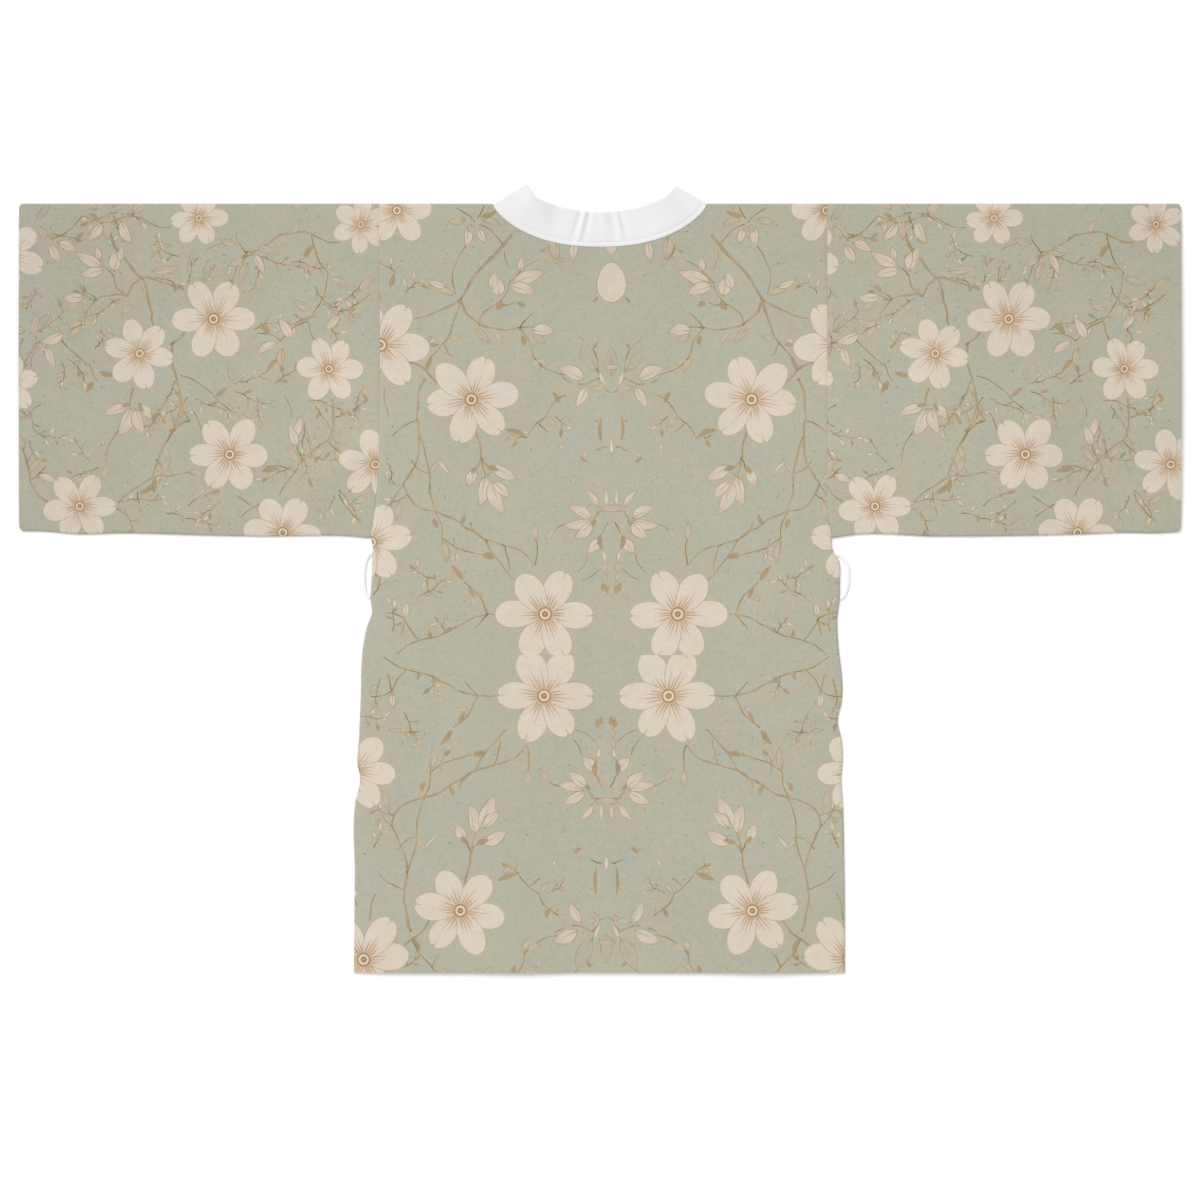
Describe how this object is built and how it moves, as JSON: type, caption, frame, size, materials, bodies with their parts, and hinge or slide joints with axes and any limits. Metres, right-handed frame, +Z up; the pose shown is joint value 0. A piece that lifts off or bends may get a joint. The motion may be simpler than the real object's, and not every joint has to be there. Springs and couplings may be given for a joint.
{
  "type": "kimono robe",
  "caption": "Short kimono robe laid flat on its front: straight wide sleeves, printed cloth, plain neckband and belt loops at the side seams.",
  "frame": {"origin": "on the surface that the robe lies on, under the middle of its outline", "axes": "+Z up from the surface, +Y from hem to neck, +X to the right seen from above, which is the wearer's right because the robe lies on its front"},
  "size_m": [1.278, 0.8679, 0.008],
  "materials": {
    "printed_cloth": "matte slubby plain weave, sage ground with a cream and tan print",
    "white_cloth": "matte plain weave, white"
  },
  "bodies": {
    "root": {"back": "printed_cloth", "front_left": "printed_cloth", "front_right": "printed_cloth", "sleeve_left": "printed_cloth", "sleeve_right": "printed_cloth", "neckband": "white_cloth", "belt_loop_left": "white_cloth", "belt_loop_right": "white_cloth"}
  },
  "joints": []
}
